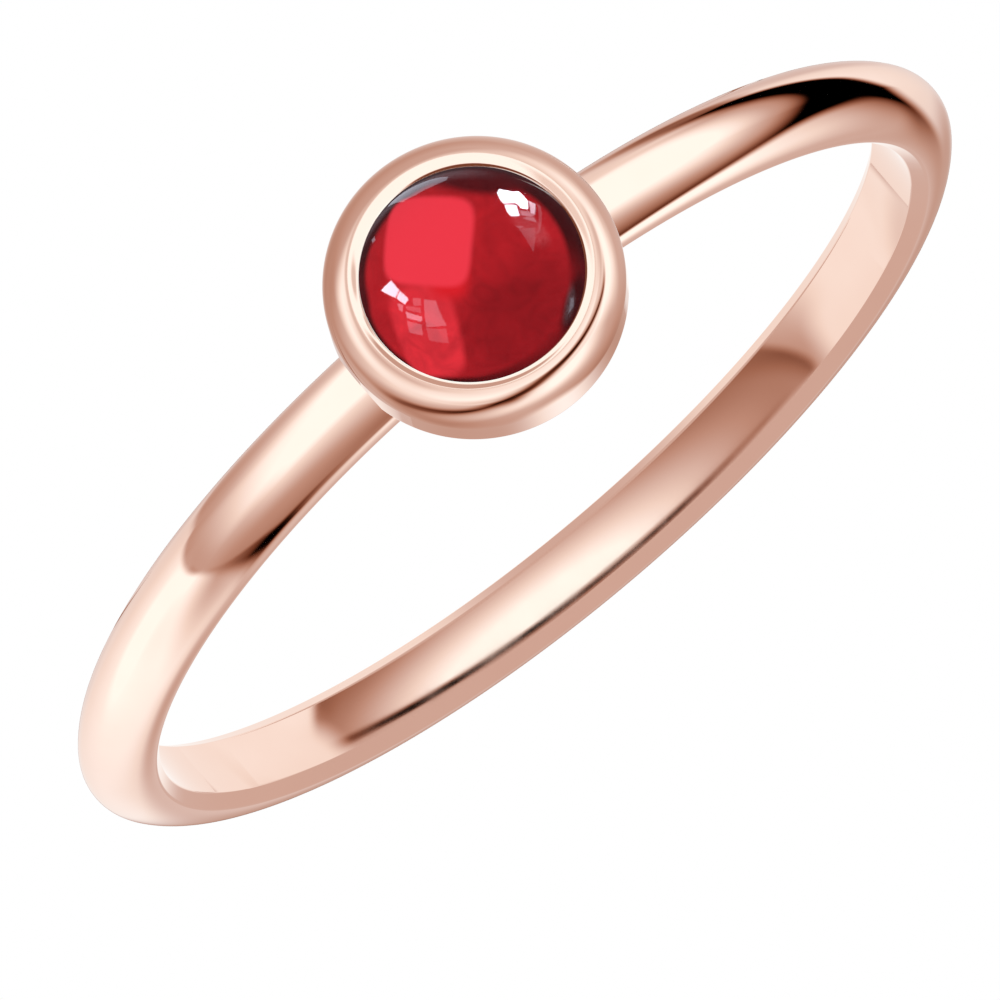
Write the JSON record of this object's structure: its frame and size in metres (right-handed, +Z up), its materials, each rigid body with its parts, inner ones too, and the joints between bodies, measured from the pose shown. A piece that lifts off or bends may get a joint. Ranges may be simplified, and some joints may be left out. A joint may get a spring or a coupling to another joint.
{
  "type": "finger ring with a round bezel-set cabochon",
  "caption": "Plain domed finger ring with a round red cabochon held in a smooth bezel cup, lying on its side.",
  "frame": {"origin": "centre of the bottom of the ring's box, on the surface that it lies on", "axes": "+Z up from the surface, +Y from the stone towards the back of the band, X across the band; the finger hole's axis leans 5.96 degrees from +Z towards +Y"},
  "size_m": [0.0188, 0.0202, 0.0051],
  "materials": {
    "rose_gold": "mirror-polished rose gold plate",
    "garnet": "polished cabochon of deep red garnet"
  },
  "bodies": {
    "root": {"band_and_bezel": "rose_gold", "garnet_cabochon": "garnet"}
  },
  "joints": []
}
